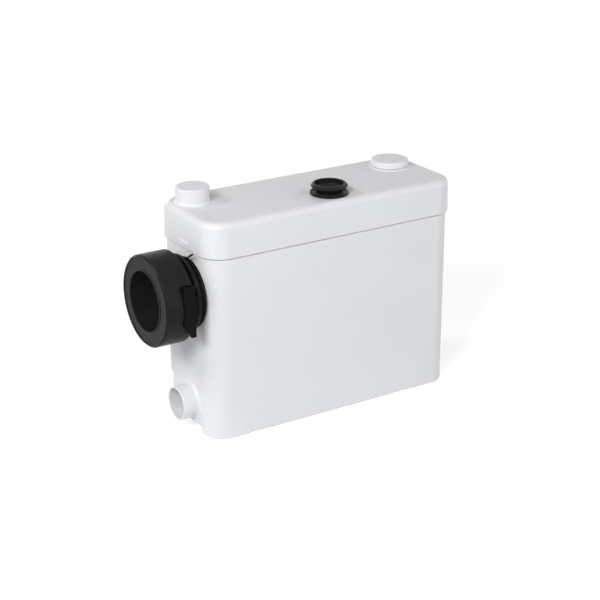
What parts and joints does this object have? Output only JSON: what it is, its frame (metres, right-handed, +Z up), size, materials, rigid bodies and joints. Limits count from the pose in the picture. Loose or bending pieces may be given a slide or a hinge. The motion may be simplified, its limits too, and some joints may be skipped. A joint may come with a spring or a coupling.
{
  "type": "macerator toilet pump",
  "caption": "Slim upright white pump tank with a lift-off lid, black toilet inlet sleeve, side inlet stub, top outlet collar, vent cap and a motor, cutter and pump inside.",
  "frame": {"origin": "centre of the tank's footprint, at floor level under its feet", "axes": "+X along the tank away from the toilet inlet, +Y to the back wall, +Z up"},
  "size_m": [0.3873, 0.1335, 0.2754],
  "materials": {
    "shell_plastic": "white moulded polypropylene, satin gloss",
    "lid_plastic": "white moulded polypropylene, satin gloss",
    "cap_plastic": "white moulded plastic, satin",
    "black_rubber": "black moulded rubber, satin",
    "grommet_rubber": "black moulded rubber, satin",
    "seal_rubber": "dark soft sealing rubber",
    "foot_rubber": "dark grey rubber",
    "flap_rubber": "black valve rubber",
    "membrane_rubber": "red-brown silicone rubber",
    "hose_rubber": "black hose rubber",
    "black_plastic": "black nylon",
    "tie_plastic": "black nylon",
    "band_steel": "blackened stainless band",
    "screw_steel": "zinc-plated steel",
    "pin_steel": "stainless pin",
    "deck_plastic": "grey glass-filled plastic",
    "can_metal": "grey painted steel",
    "cover_metal": "cast aluminium",
    "bush_brass": "sintered bronze",
    "core_steel": "laminated electrical steel",
    "copper_wire": "enamelled copper",
    "shaft_steel": "ground stainless steel",
    "cutter_steel": "stainless steel",
    "basket_plastic": "white plastic",
    "pump_plastic": "black glass-filled plastic",
    "pipe_plastic": "white plastic pipe",
    "capacitor_plastic": "white plastic can",
    "switch_plastic": "black plastic",
    "filter_foam": "black carbon foam",
    "gland_plastic": "grey nylon"
  },
  "bodies": {
    "base": {"tank": "shell_plastic", "foot_pads": "foot_rubber", "inlet_sleeve": "black_rubber", "clamp_band": "band_steel", "clamp_housing": "black_plastic", "sleeve_tie": "tie_plastic", "side_flap_pin": "pin_steel", "motor_deck": "deck_plastic", "deck_screws": "screw_steel", "motor_can": "can_metal", "can_screws": "screw_steel", "motor_cover": "cover_metal", "lower_bush": "bush_brass", "upper_bush": "bush_brass", "shaft_seal": "seal_rubber", "stator_core": "core_steel", "stator_windings": "copper_wire", "capacitor": "capacitor_plastic", "volute": "pump_plastic", "volute_plate": "pump_plastic", "grinding_basket": "basket_plastic", "pump_screws": "screw_steel", "discharge_elbow": "hose_rubber", "valve_body": "pipe_plastic", "check_pin": "pin_steel", "discharge_pipe": "pipe_plastic", "elbow_clips": "pin_steel", "pressure_bell": "switch_plastic", "switch_membrane": "membrane_rubber", "switch_cover": "switch_plastic", "microswitch": "switch_plastic", "cable_gland": "gland_plastic", "gland_nut": "gland_plastic"},
    "lid_body": {"lid": "lid_plastic", "lid_gasket": "seal_rubber", "outlet_grommet": "grommet_rubber", "vent_filter": "filter_foam"},
    "vent_cap_body": {"vent_cap": "cap_plastic"},
    "rotor": {"motor_shaft": "shaft_steel", "rotor_core": "core_steel", "impeller": "pump_plastic", "cutter": "cutter_steel"},
    "inlet_flap": {"side_flap": "flap_rubber"},
    "outlet_flap": {"check_flap": "flap_rubber"},
    "plunger": {"switch_plunger": "switch_plastic"},
    "clamp_screw_body": {"clamp_screw": "band_steel"}
  },
  "joints": [
    {"name": "lid_lift", "type": "slide", "parent": "base", "child": "lid_body", "axis": [0, 0, 1], "range_m": [0, 0.06]},
    {"name": "vent_cap_lift", "type": "slide", "parent": "lid_body", "child": "vent_cap_body", "axis": [0, 0, 1], "range_m": [0, 0.02]},
    {"name": "rotor_spin", "type": "hinge", "parent": "base", "child": "rotor", "pos_m": [0.072, 0, 0.11], "axis": [0, 0, 1], "continuous": true},
    {"name": "inlet_flap_swing", "type": "hinge", "parent": "base", "child": "inlet_flap", "pos_m": [-0.1578, -0.006, 0.057], "axis": [0, -1, 0], "range_deg": [0, 60]},
    {"name": "outlet_flap_swing", "type": "hinge", "parent": "base", "child": "outlet_flap", "pos_m": [-0.0059, -0.0299, 0.0615], "axis": [0, -1, 0], "range_deg": [0, 45]},
    {"name": "plunger_push", "type": "slide", "parent": "base", "child": "plunger", "axis": [0, 0, 1], "range_m": [0, 0.0012], "stiffness_N_per_m": 200, "springref_m": -0.0005},
    {"name": "clamp_screw_turn", "type": "hinge", "parent": "base", "child": "clamp_screw_body", "pos_m": [-0.1924, -0.0559, 0.166], "axis": [0, 0, 1], "continuous": true}
  ]
}
